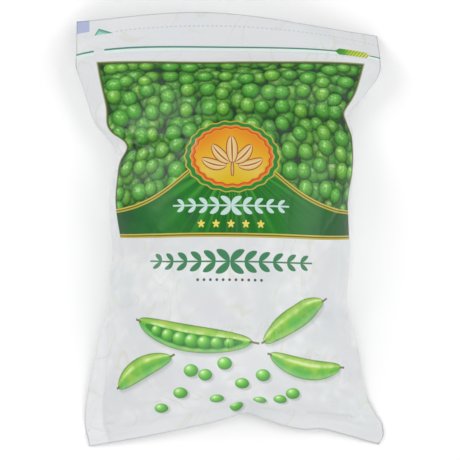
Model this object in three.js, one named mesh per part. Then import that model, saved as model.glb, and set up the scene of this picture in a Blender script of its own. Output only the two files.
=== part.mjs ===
// A bag of frozen vegetables: a filled pillow pack of printed film that lies on its back, with its
// flat header and zip beyond the contents and flat corners where the film is empty.
// Millimetres. X runs across the bag, Y from its bottom seal to its header, Z up from the floor.

import * as THREE from "three";

// The film before it was filled: a flat tube, sealed across both ends.
const filmWidth = 216;
const filmLength = 314;
const bottomSeal = 12; // height of the seal across the bottom end
const zipAt = 287; // flat height of the zip's middle
const edgeThickness = 1.0; // both layers of film together, as stiff as the real pair

// Zip: two low tracks pressed through the film, side by side.
const zipTrackApart = 4.4;
const zipTrackWidth = 1.5;
const zipTrackRise = 0.7;

// Guides: [flat height, x, y, z] of a line along the bag, from the bottom cut to the top cut.
const leftEdge = [
  [0, -100.3, -155.2, 1.2],
  [20, -103.6, -136, 2.5],
  [67, -95.3, -88.4, 11],
  [86, -90.9, -69.8, 16],
  [101, -85.5, -56, 22],
  [124, -86, -33, 26],
  [141, -83, -16, 27],
  [175, -85.8, 18, 27],
  [198, -82, 41, 26],
  [210, -79.8, 53, 24],
  [222, -86.2, 64, 20],
  [236, -95, 74, 16],
  [268, -105.4, 104, 17],
  [284, -109.6, 119, 19],
  [291, -109, 126, 19],
  [314, -109.2, 148.9, 6.5],
];
const rightEdge = [
  [0, 107, -153.8, 1.2],
  [7, 110.4, -147, 1.6],
  [14, 109.7, -140.4, 2],
  [25, 104.1, -130.8, 3],
  [38, 98.6, -119.3, 5],
  [76, 91.2, -81.6, 14],
  [103, 83.4, -55.8, 22],
  [141, 86.2, -18, 27],
  [174, 86, 15, 27],
  [208, 88.8, 50, 26],
  [221, 88.6, 64, 24],
  [238, 85.3, 81, 20],
  [252, 94, 92.4, 17],
  [278, 107.8, 114.7, 17],
  [287, 107.6, 120.5, 17],
  [314, 105.8, 138.9, 1.2],
];
const frontCrown = [
  [0, 3.4, -131, 6],
  [12, 3.4, -123.4, 12],
  [26, 2, -117, 27],
  [39, 0, -109, 38],
  [65, 0, -87, 51.5],
  [97, 0, -56, 60.5],
  [136, 0, -17, 62.5],
  [178, 0, 25, 61],
  [220, 0, 66, 52],
  [252, 0, 95, 38.5],
  [278, -2, 119.5, 27],
  [287, -4, 127.5, 24.5],
  [314, -10, 154.5, 24],
];
const backCrown = [
  [0, 3.4, -131, 6],
  [12, 3.4, -123.4, 7],
  [26, 2, -112, 1],
  [39, 0, -99, -3],
  [65, 0, -78, -4],
  [97, 0, -50, -4],
  [136, 0, -15, -4],
  [178, 0, 24, -4],
  [220, 0, 62, -2.5],
  [252, 0, 90, 7],
  [278, -2, 118, 21],
  [287, -4, 127.5, 24.5],
  [314, -10, 154.5, 24],
];

// Cross-section: z falls from crown to edge by (1 - |x|^flatness)^steepness. A steepness under 1 is
// a full round side, and over 1 an empty flap of film. [flat height, flatness, steepness].
const sectionShape = [
  [0, 2.0, 1.0],
  [12, 2.2, 1.15],
  [39, 2.6, 1.2],
  [67, 2.7, 0.85],
  [101, 2.7, 0.56],
  [136, 2.6, 0.5],
  [200, 2.5, 0.52],
  [222, 2.3, 0.8],
  [245, 2.1, 1.15],
  [275, 2.0, 1.0],
  [314, 2.0, 1.0],
];
// Share of a flat-topped bow, which the stiff zip holds. [flat height, share].
const zipHold = [
  [0, 0],
  [250, 0],
  [281, 1],
  [292, 1],
  [314, 0],
];

// The bend that the bottom seal stands in: straight to a ridge, then down to a pleat on the right.
// [place across in half widths, share of the bend's height].
const bottomBend = [
  [-1, 0],
  [-0.65, 0.26],
  [-0.34, 0.53],
  [-0.03, 0.85],
  [0.07, 1],
  [0.2, 0.81],
  [0.37, 0.565],
  [0.51, 0.47],
  [0.57, 0.5],
  [0.74, 0.34],
  [0.9, 0.13],
  [1, 0],
];

// Folds pressed into the film: each fans out from a corner of the filled part towards its middle.
// [across, along] are flat film coordinates, from the bag's centre line and its bottom cut.
const foldFans = [
  { side: "front", from: [-98, 20], toward: 52, spread: 34, count: 3, reach: 62, depth: 2.4, width: 5 },
  { side: "front", from: [99, 18], toward: 128, spread: 34, count: 3, reach: 62, depth: 2.4, width: 5 },
  { side: "front", from: [-100, 240], toward: -34, spread: 44, count: 3, reach: 44, depth: 2.0, width: 5 },
  { side: "front", from: [98, 250], toward: 214, spread: 44, count: 3, reach: 48, depth: 2.0, width: 5 },
  { side: "back", from: [-98, 20], toward: 52, spread: 36, count: 3, reach: 50, depth: 1.6, width: 5 },
  { side: "back", from: [99, 18], toward: 128, spread: 36, count: 3, reach: 50, depth: 1.6, width: 5 },
  { side: "back", from: [-100, 240], toward: -34, spread: 40, count: 3, reach: 42, depth: 1.6, width: 5 },
  { side: "back", from: [98, 250], toward: 214, spread: 40, count: 3, reach: 42, depth: 1.6, width: 5 },
];

const acrossSteps = 34;
const rowSpacing = 6.2; // along most of the film
const sectionSamples = 60; // per half, when a section is measured before it is divided evenly

// A smooth curve through [position, value, ...] rows: a cubic with limited slopes, so it never
// swings past its rows.
function smoothThrough(rows, column) {
  const at = rows.map((row) => row[0]);
  const value = rows.map((row) => row[column]);
  const rise = at.slice(1).map((a, i) => (value[i + 1] - value[i]) / (a - at[i]));
  const slope = value.map((_, i) => {
    if (i === 0) return rise[0];
    if (i === rise.length) return rise[i - 1];
    const before = rise[i - 1];
    const after = rise[i];
    return before * after <= 0 ? 0 : (2 * before * after) / (before + after);
  });
  return (position) => {
    let i = 0;
    while (i < rise.length - 1 && position > at[i + 1]) i += 1;
    const span = at[i + 1] - at[i];
    const f = THREE.MathUtils.clamp((position - at[i]) / span, 0, 1);
    const f2 = f * f;
    const f3 = f2 * f;
    return (
      value[i] * (2 * f3 - 3 * f2 + 1) +
      value[i + 1] * (3 * f2 - 2 * f3) +
      span * (slope[i] * (f3 - 2 * f2 + f) + slope[i + 1] * (f3 - f2))
    );
  };
}

function guide(rows) {
  const [x, y, z] = [1, 2, 3].map((column) => smoothThrough(rows, column));
  return (along) => new THREE.Vector3(x(along), y(along), z(along));
}

const leftAt = guide(leftEdge);
const rightAt = guide(rightEdge);
const crownAt = { front: guide(frontCrown), back: guide(backCrown) };
const flatnessAt = smoothThrough(sectionShape, 1);
const steepnessAt = smoothThrough(sectionShape, 2);
const zipHoldAt = smoothThrough(zipHold, 1);
const bottomBendAt = smoothThrough(bottomBend, 1);

// Share of a row's bow at a place across the bag: the seal's bend at the bottom, a soft arch above
// it, and a flatter arch at the zip.
function bowShare(across, along) {
  const bent = bottomBendAt(across);
  const arch = ((1 + Math.cos(Math.PI * across)) / 2 + 1 - across * across) / 2;
  const soft = THREE.MathUtils.lerp(arch, 1 - across ** 4, zipHoldAt(along));
  return THREE.MathUtils.lerp(bent, soft, THREE.MathUtils.smoothstep(along, 0, 60));
}

// One row across the bag on one side, from edge to edge, divided evenly along the film.
function sectionRow(side, along) {
  const left = leftAt(along);
  const right = rightAt(along);
  const middle = left.clone().add(right).multiplyScalar(0.5);
  const rise = crownAt[side](along).sub(middle);
  const flatness = flatnessAt(along);
  const steepness = steepnessAt(along);
  const half = (side === "front" ? 1 : -1) * (edgeThickness / 2);
  const dense = [];
  for (let i = -sectionSamples; i <= sectionSamples; i += 1) {
    const across = Math.sin((Math.PI / 2) * (i / sectionSamples));
    const full = Math.pow(1 - Math.pow(Math.abs(across), flatness), steepness);
    const bow = bowShare(across, along);
    const point = left.clone().lerp(right, (across + 1) / 2);
    point.x += rise.x * (1 - across * across);
    point.y += rise.y * bow;
    point.z = Math.max(point.z + rise.z * full + half, side === "front" ? edgeThickness : 0);
    dense.push(point);
  }
  const travelled = [0];
  for (let i = 1; i < dense.length; i += 1) {
    travelled.push(travelled[i - 1] + dense[i].distanceTo(dense[i - 1]));
  }
  const row = [];
  let k = 0;
  for (let i = 0; i <= acrossSteps; i += 1) {
    const wanted = (travelled.at(-1) * i) / acrossSteps;
    while (k < dense.length - 2 && travelled[k + 1] < wanted) k += 1;
    const f = (wanted - travelled[k]) / (travelled[k + 1] - travelled[k]);
    row.push(dense[k].clone().lerp(dense[k + 1], THREE.MathUtils.clamp(f, 0, 1)));
  }
  return row;
}

// How far the folds press a place in, in millimetres. Folds fade out at both ends.
function foldDepth(side, across, along) {
  let depth = 0;
  for (const fan of foldFans) {
    if (fan.side !== side) continue;
    for (let i = 0; i < fan.count; i += 1) {
      const share = fan.count > 1 ? i / (fan.count - 1) - 0.5 : 0;
      const angle = THREE.MathUtils.degToRad(fan.toward + share * fan.spread);
      const reach = fan.reach * (1 - 0.3 * Math.abs(share));
      const dx = across - fan.from[0];
      const dy = along - fan.from[1];
      const forward = dx * Math.cos(angle) + dy * Math.sin(angle);
      const beside = dy * Math.cos(angle) - dx * Math.sin(angle);
      if (forward <= 0 || forward >= reach) continue;
      const length = Math.sin((Math.PI * forward) / reach);
      depth += fan.depth * length * Math.exp(-((beside / fan.width) ** 2));
    }
  }
  return depth;
}

// The zip's two tracks, raised on the front of the header.
function zipRise(along) {
  const track = (centre) => {
    const off = Math.abs(along - centre) / zipTrackWidth;
    return off < 1 ? zipTrackRise * Math.cos((Math.PI / 2) * off) : 0;
  };
  return track(zipAt - zipTrackApart / 2) + track(zipAt + zipTrackApart / 2);
}

// Flat heights of the rows: even along the film, and closer over the seal and the zip.
function rowHeights() {
  const heights = [0, bottomSeal / 2, bottomSeal];
  const below = zipAt - zipTrackApart - zipTrackWidth;
  const evenRows = Math.round((below - bottomSeal) / rowSpacing);
  for (let i = 1; i <= evenRows; i += 1) {
    heights.push(bottomSeal + ((below - bottomSeal) * i) / evenRows);
  }
  for (const track of [-1, 1]) {
    const centre = zipAt + (track * zipTrackApart) / 2;
    heights.push(centre - zipTrackWidth, centre, centre + zipTrackWidth);
  }
  heights.push(zipAt + 9, zipAt + 18, filmLength);
  return heights;
}

// Both faces of the bag as grids of points, with the folds and the zip pressed into them.
function bagFaces() {
  const heights = rowHeights();
  const faces = {};
  for (const side of ["front", "back"]) {
    const outward = side === "front" ? 1 : -1;
    const grid = heights.map((along) => sectionRow(side, along));
    faces[side] = grid.map((row, r) =>
      row.map((point, c) => {
        const alongRow = grid[Math.min(r + 1, grid.length - 1)][c]
          .clone()
          .sub(grid[Math.max(r - 1, 0)][c]);
        const acrossRow = row[Math.min(c + 1, acrossSteps)].clone().sub(row[Math.max(c - 1, 0)]);
        const normal = acrossRow.cross(alongRow).normalize().multiplyScalar(outward);
        const across = (c / acrossSteps - 0.5) * filmWidth;
        const inner = Math.min(1, (1 - Math.abs(2 * c - acrossSteps) / acrossSteps) * 8);
        const raised = side === "front" ? zipRise(heights[r]) : 0;
        const move = inner * (raised - foldDepth(side, across, heights[r]));
        const moved = point.clone().addScaledVector(normal, move);
        moved.z = Math.max(moved.z, 0);
        return moved;
      }),
    );
  }
  return faces;
}

// One closed surface: both grids, and a narrow band round them where the two films end.
function bagGeometry() {
  const { front, back } = bagFaces();
  const rows = front.length;
  const columns = acrossSteps + 1;
  const points = [...front.flat(), ...back.flat()];
  const backStart = rows * columns;
  const frontIndex = (r, c) => r * columns + c;
  const backIndex = (r, c) => backStart + r * columns + c;
  const index = [];
  const quad = (a, b, c, d) => index.push(a, b, c, a, c, d);
  for (let r = 0; r < rows - 1; r += 1) {
    for (let c = 0; c < columns - 1; c += 1) {
      quad(frontIndex(r, c), frontIndex(r, c + 1), frontIndex(r + 1, c + 1), frontIndex(r + 1, c));
      quad(backIndex(r, c), backIndex(r + 1, c), backIndex(r + 1, c + 1), backIndex(r, c + 1));
    }
    quad(frontIndex(r, 0), frontIndex(r + 1, 0), backIndex(r + 1, 0), backIndex(r, 0));
    const last = columns - 1;
    quad(frontIndex(r, last), backIndex(r, last), backIndex(r + 1, last), frontIndex(r + 1, last));
  }
  for (let c = 0; c < columns - 1; c += 1) {
    quad(frontIndex(0, c), backIndex(0, c), backIndex(0, c + 1), frontIndex(0, c + 1));
    const top = rows - 1;
    quad(frontIndex(top, c), frontIndex(top, c + 1), backIndex(top, c + 1), backIndex(top, c));
  }
  const geometry = new THREE.BufferGeometry().setFromPoints(points);
  geometry.setIndex(index);
  geometry.computeBoundingBox();
  const centre = geometry.boundingBox.getCenter(new THREE.Vector3());
  geometry.translate(-centre.x, -centre.y, -geometry.boundingBox.min.z);
  geometry.computeVertexNormals();
  return geometry;
}

const filmMaterial = new THREE.MeshStandardMaterial({ color: 0xe6e8ea, roughness: 0.38, metalness: 0 });

const bag = new THREE.Mesh(bagGeometry(), filmMaterial);
bag.name = "bag";

const part = new THREE.Group();
part.add(bag);

export default part;
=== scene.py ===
# A bag of frozen peas: a filled pillow pack of printed polyethylene film that lies on its back,
# with the zip header and the empty corners flat. The dictionaries hold millimetres, and Blender
# holds metres. Places on the film are [across, along]: from its centre line, and from its bottom cut.

import math
import time

import bpy
import numpy as np
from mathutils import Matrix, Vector


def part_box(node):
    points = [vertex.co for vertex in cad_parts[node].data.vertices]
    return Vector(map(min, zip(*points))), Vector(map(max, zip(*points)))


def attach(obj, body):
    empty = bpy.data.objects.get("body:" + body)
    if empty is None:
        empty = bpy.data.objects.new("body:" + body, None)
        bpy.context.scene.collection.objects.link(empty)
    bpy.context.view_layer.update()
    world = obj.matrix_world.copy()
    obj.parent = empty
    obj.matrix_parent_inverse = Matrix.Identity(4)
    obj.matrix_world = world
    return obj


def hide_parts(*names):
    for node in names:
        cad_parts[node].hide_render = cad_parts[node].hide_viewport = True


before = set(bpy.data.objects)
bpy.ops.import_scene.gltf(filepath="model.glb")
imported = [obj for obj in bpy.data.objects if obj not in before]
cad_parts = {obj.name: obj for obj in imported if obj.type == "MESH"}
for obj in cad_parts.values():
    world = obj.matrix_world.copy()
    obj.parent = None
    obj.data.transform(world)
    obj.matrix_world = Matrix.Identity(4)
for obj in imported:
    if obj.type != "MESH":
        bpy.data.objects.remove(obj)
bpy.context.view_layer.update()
started = time.time()
print("frame loaded:", sorted(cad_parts))

mm = 0.001

bag = {
    "width": 216.0,  # the film tube, laid flat
    "length": 314.0,
    "bottomSeal": 12.0,
    "zipAt": 287.0,
    "zipTrackApart": 4.4,
    "zipTrackWidth": 1.5,
    "zipTrackRise": 0.7,
    "edgeGap": 0.6,  # between the two films at their edges
    # guides: [along, x, y, z] of a line up the bag, from the bottom cut to the top cut
    "leftEdge": [
        [0, -100.3, -155.2, 1.2], [20, -103.6, -136, 2.5], [67, -95.3, -88.4, 11],
        [86, -90.9, -69.8, 16], [101, -85.5, -56, 22], [124, -86, -33, 26], [141, -83, -16, 27],
        [175, -85.8, 18, 27], [198, -82, 41, 26], [210, -79.8, 53, 24], [222, -86.2, 64, 20],
        [236, -95, 74, 16], [268, -105.4, 104, 17], [284, -109.6, 119, 19], [291, -109, 126, 19],
        [314, -109.2, 148.9, 6.5],
    ],
    "rightEdge": [
        [0, 107, -153.8, 1.2], [7, 110.4, -147, 1.6], [14, 109.7, -140.4, 2],
        [25, 104.1, -130.8, 3], [38, 98.6, -119.3, 5], [76, 91.2, -81.6, 14],
        [103, 83.4, -55.8, 22], [141, 86.2, -18, 27], [174, 86, 15, 27], [208, 88.8, 50, 26],
        [221, 88.6, 64, 24], [238, 85.3, 81, 20], [252, 94, 92.4, 17], [278, 107.8, 114.7, 17],
        [287, 107.6, 120.5, 17], [314, 105.8, 138.9, 1.2],
    ],
    "frontCrown": [
        [0, 3.4, -131, 6], [12, 3.4, -123.4, 12], [26, 2, -117, 27], [39, 0, -109, 38], [65, 0, -87, 51.5],
        [97, 0, -56, 60.5], [136, 0, -17, 62.5], [178, 0, 25, 61], [220, 0, 66, 52],
        [252, 0, 95, 38.5], [278, -2, 119.5, 27], [287, -4, 127.5, 24.5], [314, -10, 154.5, 24],
    ],
    "backCrown": [
        [0, 3.4, -131, 6], [12, 3.4, -123.4, 7], [26, 2, -112, 1], [39, 0, -99, -3], [65, 0, -78, -4],
        [97, 0, -50, -4], [136, 0, -15, -4], [178, 0, 24, -4], [220, 0, 62, -2.5],
        [252, 0, 90, 7], [278, -2, 118, 21], [287, -4, 127.5, 24.5], [314, -10, 154.5, 24],
    ],
    # [along, flatness, steepness] of the cross-section, which falls by (1 - |x|^flatness)^steepness
    "section": [
        [0, 2.0, 1.0], [12, 2.2, 1.15], [39, 2.6, 1.2], [67, 2.7, 0.85], [101, 2.7, 0.56],
        [136, 2.6, 0.5], [200, 2.5, 0.52], [222, 2.3, 0.8], [245, 2.1, 1.15], [275, 2.0, 1.0],
        [314, 2.0, 1.0],
    ],
    # [along, share] of a flat-topped bow, which the stiff zip holds
    "zipHold": [[0, 0], [250, 0], [281, 1], [292, 1], [314, 0]],
    # [across in half widths, share] of the bottom seal's bend: a ridge, and a pleat to its right
    "bottomBend": [
        [-1, 0], [-0.65, 0.26], [-0.34, 0.53], [-0.03, 0.85], [0.07, 1], [0.2, 0.81],
        [0.37, 0.565], [0.51, 0.47], [0.57, 0.5], [0.74, 0.34], [0.9, 0.13], [1, 0],
    ],
}

filmCloth = {
    "columns": 90,
    "rows": 132,
    "size": 10.0,  # the film is simulated at ten times life size, where the solver is steady
    "slackAlong": 1.025,  # the film is a little longer than the form, so it creases
    "free": (7.5, 279.0),  # the bottom seal and the header, outside these heights, keep to the form
    "hold": 0.03,  # and how strongly the film between them does
    "gravity": 0.2,
    "frames": 18,
    "tableHalf": 3.0,  # the table under it, at the simulated size
    "settings": {
        "quality": 9,
        "mass": 0.3,
        "tension_stiffness": 400.0,
        "compression_stiffness": 400.0,
        "shear_stiffness": 80.0,
        "bending_stiffness": 0.01,
        "tension_damping": 10.0,
        "compression_damping": 10.0,
        "shear_damping": 10.0,
        "bending_damping": 0.5,
        "air_damping": 2.0,
        "use_pressure": True,
        "uniform_pressure_force": 0.08,
        "use_pressure_volume": True,
        "pressure_factor": 20.0,
    },
}


def smoothThrough(rows, at):
    # monotone cubic through [position, value, ...] rows
    rows = np.array(rows, float)
    place, value = rows[:, 0], rows[:, 1:]
    rise = np.diff(value, axis=0) / np.diff(place)[:, None]
    before, after = rise[:-1], rise[1:]
    total = before + after
    turns = before * after <= 0
    inner = np.where(turns, 0, 2 * before * after / np.where(turns, 1, total))
    slope = np.concatenate([rise[:1], inner, rise[-1:]])
    i = np.clip(np.searchsorted(place, at) - 1, 0, len(place) - 2)
    span = (place[i + 1] - place[i])[:, None]
    f = np.clip((at[:, None] - place[i][:, None]) / span, 0, 1)
    ends = value[i] * (2 * f**3 - 3 * f**2 + 1) + value[i + 1] * (3 * f**2 - 2 * f**3)
    return ends + span * (slope[i] * (f**3 - 2 * f**2 + f) + slope[i + 1] * (f**3 - f**2))


def fadeBetween(value, low, high):
    f = np.clip((value - low) / (high - low), 0, 1)
    return f * f * (3 - 2 * f)


def bowShare(across, along, flatTop):
    bent = smoothThrough(bag["bottomBend"], across)[:, 0]
    arch = ((1 + np.cos(math.pi * across)) / 2 + 1 - across**2) / 2
    soft = arch + flatTop * (1 - across**4 - arch)
    return bent + fadeBetween(along, 0, 60) * (soft - bent)


def formGrid(side, heights, columns):
    # one side of the bag as rows of points, evenly spaced along the film in each row
    left = smoothThrough(bag["leftEdge"], heights)
    right = smoothThrough(bag["rightEdge"], heights)
    crown = smoothThrough(bag[side + "Crown"], heights)
    section = smoothThrough(bag["section"], heights)
    flatTop = smoothThrough(bag["zipHold"], heights)[:, 0]
    half = bag["edgeGap"] / 2 if side == "front" else -bag["edgeGap"] / 2
    across = np.sin(np.linspace(-math.pi / 2, math.pi / 2, 401))
    grid = []
    for k, along in enumerate(heights):
        rise = crown[k] - (left[k] + right[k]) / 2
        full = np.clip(1 - np.abs(across) ** section[k, 0], 0, 1) ** section[k, 1]
        row = left[k] + (right[k] - left[k]) * ((across + 1) / 2)[:, None]
        row[:, 0] += rise[0] * (1 - across**2)
        row[:, 1] += rise[1] * bowShare(across, along, flatTop[k])
        floorAt = bag["edgeGap"] if side == "front" else 0
        row[:, 2] = np.maximum(row[:, 2] + rise[2] * full + half, floorAt)
        gone = np.concatenate([[0], np.cumsum(np.linalg.norm(np.diff(row, axis=0), axis=1))])
        wanted = np.linspace(0, gone[-1], columns + 1)
        grid.append(np.stack([np.interp(wanted, gone, row[:, axis]) for axis in range(3)], 1))
    return np.array(grid)


def joinSides(front, back):
    # both grids as one closed surface: the edge points are shared
    rows, columns = front.shape[:2]
    inner = np.zeros((rows, columns), bool)
    inner[1:-1, 1:-1] = True
    frontIndex = np.arange(rows * columns).reshape(rows, columns)
    backIndex = frontIndex.copy()
    backIndex[inner] = rows * columns + np.arange(inner.sum())
    shared = np.where(inner[..., None], front, (front + back) / 2)
    points = np.concatenate([shared.reshape(-1, front.shape[2]), back[inner]])
    faces = []
    for index, flip in ((frontIndex, False), (backIndex, True)):
        corners = [index[:-1, :-1], index[:-1, 1:], index[1:, 1:], index[1:, :-1]]
        quads = np.stack([c.ravel() for c in corners], 1)
        faces.append(quads[:, ::-1] if flip else quads)
    return points, np.concatenate(faces), frontIndex, backIndex


def newObject(name, points, faces):
    mesh = bpy.data.meshes.new(name)
    mesh.from_pydata(points.tolist(), [], faces.tolist())
    piece = bpy.data.objects.new(name, mesh)
    bpy.context.scene.collection.objects.link(piece)
    return piece


def newSquare(name, half):
    corners = np.array([[-half, -half, 0], [half, -half, 0], [half, half, 0], [-half, half, 0]])
    return newObject(name, corners, np.array([[0, 1, 2, 3]]))


def simulateFilm(front, back, heights):
    # the film is flat at rest and starts on the form, so it creases where it is too long
    lifeSize = filmCloth["size"] * mm
    points, faces, frontIndex, backIndex = joinSides(front, back)
    flatAcross = np.linspace(-bag["width"] / 2, bag["width"] / 2, front.shape[1])
    flat = np.zeros_like(front)
    flat[..., 0] = flatAcross
    flat[..., 1] = heights[:, None] * filmCloth["slackAlong"]
    flatPoints = joinSides(flat, flat)[0]
    film = newObject("clothFilm", points * lifeSize, faces)
    film.shape_key_add(name="form")
    rest = film.shape_key_add(name="flat")
    rest.data.foreach_set("co", (flatPoints * lifeSize).astype(np.float32).ravel())
    rest.value = 0
    along = flatPoints[:, 1] / filmCloth["slackAlong"]
    freeFrom, freeTo = filmCloth["free"]
    pinned = (along > freeTo) | (along < freeFrom)
    holds = film.vertex_groups.new(name="hold")
    holds.add(np.where(pinned)[0].tolist(), 1.0, "REPLACE")
    holds.add(np.where(~pinned)[0].tolist(), filmCloth["hold"], "REPLACE")

    cloth = film.modifiers.new("Cloth", "CLOTH")
    for name, value in filmCloth["settings"].items():
        setattr(cloth.settings, name, value)
    cloth.settings.vertex_group_mass = holds.name
    cloth.settings.rest_shape_key = rest
    cloth.settings.target_volume = closedVolume(points * lifeSize, faces)
    cloth.settings.effector_weights.gravity = filmCloth["gravity"]
    cloth.collision_settings.distance_min = 0.003
    cloth.collision_settings.use_self_collision = False
    table = newSquare("clothTable", filmCloth["tableHalf"])
    table.modifiers.new("Collision", "COLLISION")
    table.collision.thickness_outer = 0.002

    for step in range(1, filmCloth["frames"] + 1):
        bpy.context.scene.frame_set(step)
    shaped = film.evaluated_get(bpy.context.evaluated_depsgraph_get()).data
    settled = np.empty(len(shaped.vertices) * 3, np.float32)
    shaped.vertices.foreach_get("co", settled)
    settled = settled.reshape(-1, 3).astype(float) / lifeSize
    bpy.context.scene.frame_set(1)
    for helper in (film, table):
        mesh = helper.data
        bpy.data.objects.remove(helper)
        bpy.data.meshes.remove(mesh)
    return settled[frontIndex], settled[backIndex]


def closedVolume(points, faces):
    a, b, c, d = (points[faces[:, i]] for i in range(4))
    return float((np.cross(a, b) * c + np.cross(a, c) * d).sum() / 6)


def matchOutline(front, back, heights):
    # each row is widened or narrowed a little, so that its sides stand on the edge guides
    left = smoothThrough(bag["leftEdge"], heights)[:, 0]
    right = smoothThrough(bag["rightEdge"], heights)[:, 0]
    both = np.concatenate([front, back], 1)[..., 0]
    low, high = both.min(1), both.max(1)
    for grid in (front, back):
        share = (grid[..., 0] - low[:, None]) / (high - low)[:, None]
        grid[..., 0] = left[:, None] + share * (right - left)[:, None]
    return front, back


clothHeights = np.linspace(0, bag["length"], filmCloth["rows"])
formFront = formGrid("front", clothHeights, filmCloth["columns"])
formBack = formGrid("back", clothHeights, filmCloth["columns"])
formLow = np.minimum(formFront.min((0, 1)), formBack.min((0, 1)))
formHigh = np.maximum(formFront.max((0, 1)), formBack.max((0, 1)))
filmFront, filmBack = simulateFilm(formFront, formBack, clothHeights)
filmFront, filmBack = matchOutline(filmFront, filmBack, clothHeights)
print("film settled:", round(time.time() - started, 1), "s")


unrolling = {
    "rounds": 900,
    "share": 9,  # each point has eight neighbours
    "stride": 1.6,
    "headerFrom": 283.0,
}


def placesOnFilm(grid, heights):
    # where each point lies on the film laid flat: neighbours are moved until their distances are
    # those on the bag, so the print isn't stretched; the header stays as it is
    places = np.zeros(grid.shape[:2] + (2,))
    places[..., 0] = np.linspace(-bag["width"] / 2, bag["width"] / 2, grid.shape[1])
    places[..., 1] = heights[:, None]
    start = places.copy()
    held = heights > unrolling["headerFrom"]
    pairs = []
    neighbours = [(np.s_[:, :-1], np.s_[:, 1:]), (np.s_[:-1], np.s_[1:]),
                  (np.s_[:-1, :-1], np.s_[1:, 1:]), (np.s_[:-1, 1:], np.s_[1:, :-1])]
    for first, second in neighbours:
        pairs.append((first, second, np.linalg.norm(grid[second] - grid[first], axis=2)))
    for _ in range(unrolling["rounds"]):
        move = np.zeros_like(places)
        for first, second, wanted in pairs:
            apart = places[second] - places[first]
            now = np.maximum(np.linalg.norm(apart, axis=2), 1e-6)
            push = apart * ((wanted - now) / now)[..., None] / unrolling["share"]
            move[second] += push
            move[first] -= push
        places += unrolling["stride"] * move
        places[held] = start[held]
    return places


printPlaces = placesOnFilm(filmFront, clothHeights)
print("print laid on the film:", round(time.time() - started, 1), "s")


# The fine film: the settled grids are drawn again with closer rows, and small relief is added.
relief = {
    "step": 1.28,  # mm between points of the fine film
    "zipStep": 0.45,
    "peaSpacing": 8.8,  # frozen peas are 7 to 9 mm across
    "peaWidth": 2.7,
    "peaRise": 0.34,
    "crinkle": 0.16,
    "headerFrom": (268.0, 282.0),  # where the peas end and the empty header begins
    "headerWave": 0.5,
    "sealRib": 0.1,
    "sealRibPitch": 2.4,
    "lapSeam": 13.0,  # width of the overlap up the middle of the back
    "lapRise": 0.35,
    "earEnds": (60.0, 110.0),  # the empty strip along the lower left side narrows between these heights
    "earWidth": 14.0,
    "earFold": 1.1,  # depth of the fold along it, and its width
    "earFoldWidth": 1.7,
    # sharp creases, [from across, along, to across, along, height, width]
    "creases": [
        (17, 72, 34, 95, 0.8, 1.8), (29, 68, 28, 94, 0.7, 1.8), (22, 92, 40, 78, 0.4, 1.8),
        (-76, 54, -85, 27, 0.5, 1.3), (-70, 49, -80, 33, -0.35, 1.6), (-49, 60, -43, 46, 0.3, 1.3),
        (-92, 222, -70, 225, -0.9, 1.8), (-90, 219, -68, 212, 0.6, 1.6), (-91, 224, -74, 239, 0.5, 1.6),
        (-93, 228, -84, 250, 0.5, 1.8), (-93, 214, -86, 192, 0.45, 1.8),
        (99, 246, 80, 244, -0.8, 1.8), (98, 243, 79, 236, 0.55, 1.6), (98, 249, 83, 260, 0.5, 1.6),
        (99, 240, 92, 218, 0.4, 1.7),
        (-100, 296, -22, 297.5, 0.3, 1.2), (12, 296, 92, 294, 0.22, 1.2), (-104, 283, -60, 282.5, 0.3, 1.4),
        (60, 283, 104, 283.5, 0.3, 1.4), (-38, 309, 34, 311, 0.2, 1.5),
        (82, 62, 88, 28, 0.5, 1.6), (74, 34, 92, 12, 0.45, 1.6), (90, 40, 101, 20, 0.4, 1.6),
        (-60, 119, -66, 98, 0.25, 1.5), (70, 121, 62, 104, 0.3, 1.5), (52, 118, 74, 113, 0.3, 1.5),
        (-93, 152, -98, 98, -0.9, 4.0), (-84, 148, -90, 102, 0.6, 4.0), (-76, 132, -82, 90, -0.5, 5.0),
        (92, 148, 95, 104, -0.7, 4.0),
    ],
    # places where the film is crinkled and glints, [across, along, reach, amount]
    "crinkled": [
        (4, 79, 11, 1.0), (30, 80, 9, 1.0), (60, 62, 8, 0.8), (-81, 44, 8, 0.5), (88, 50, 11, 0.4),
        (-86, 221, 12, 0.5), (93, 244, 12, 0.5), (-100, 286, 9, 0.4), (101, 284, 8, 0.4),
        (88, 20, 11, 0.4), (-96, 120, 14, 0.4), (97, 120, 12, 0.35), (-99, 28, 13, 0.5),
    ],
    "scattered": 46,  # faint creases anywhere
}
dice = np.random.default_rng(27)


def sampleAlong(points, at):
    # cubic through evenly spaced points on the first axis, at fractional places
    padded = np.concatenate([2 * points[:1] - points[1:2], points, 2 * points[-1:] - points[-2:-1]])
    i = np.clip(at.astype(int), 0, len(points) - 2)
    f = (at - i).reshape(-1, *[1] * (points.ndim - 1))
    a, b, c, d = (padded[i + k] for k in range(4))
    return 0.5 * (2 * b + (c - a) * f + (2 * a - 5 * b + 4 * c - d) * f**2 + (3 * b - a - 3 * c + d) * f**3)


def sampleGrid(grid, rowsAt, columnsAt):
    rows = sampleAlong(grid, rowsAt)
    return np.swapaxes(sampleAlong(np.swapaxes(rows, 0, 1), columnsAt), 0, 1)


def fineHeights():
    evenRows = np.arange(0, bag["length"] + 0.01, bag["length"] / round(bag["length"] / relief["step"]))
    reach = bag["zipTrackApart"] / 2 + bag["zipTrackWidth"]
    zipRows = np.arange(bag["zipAt"] - reach, bag["zipAt"] + reach + 0.01, relief["zipStep"])
    clear = np.abs(evenRows - bag["zipAt"]) > reach + 0.3
    return np.sort(np.concatenate([evenRows[clear], zipRows]))


def softNoise(cell):
    # smooth random field over the film, from about -1 to 1, with lumps of this size in mm
    lattice = dice.uniform(-1, 1, (int(bag["length"] / cell) + 3, int(bag["width"] / cell) + 3))
    return sampleGrid(lattice, alongAt / cell + 0.5, (acrossAt + bag["width"] / 2) / cell + 0.5)


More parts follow.
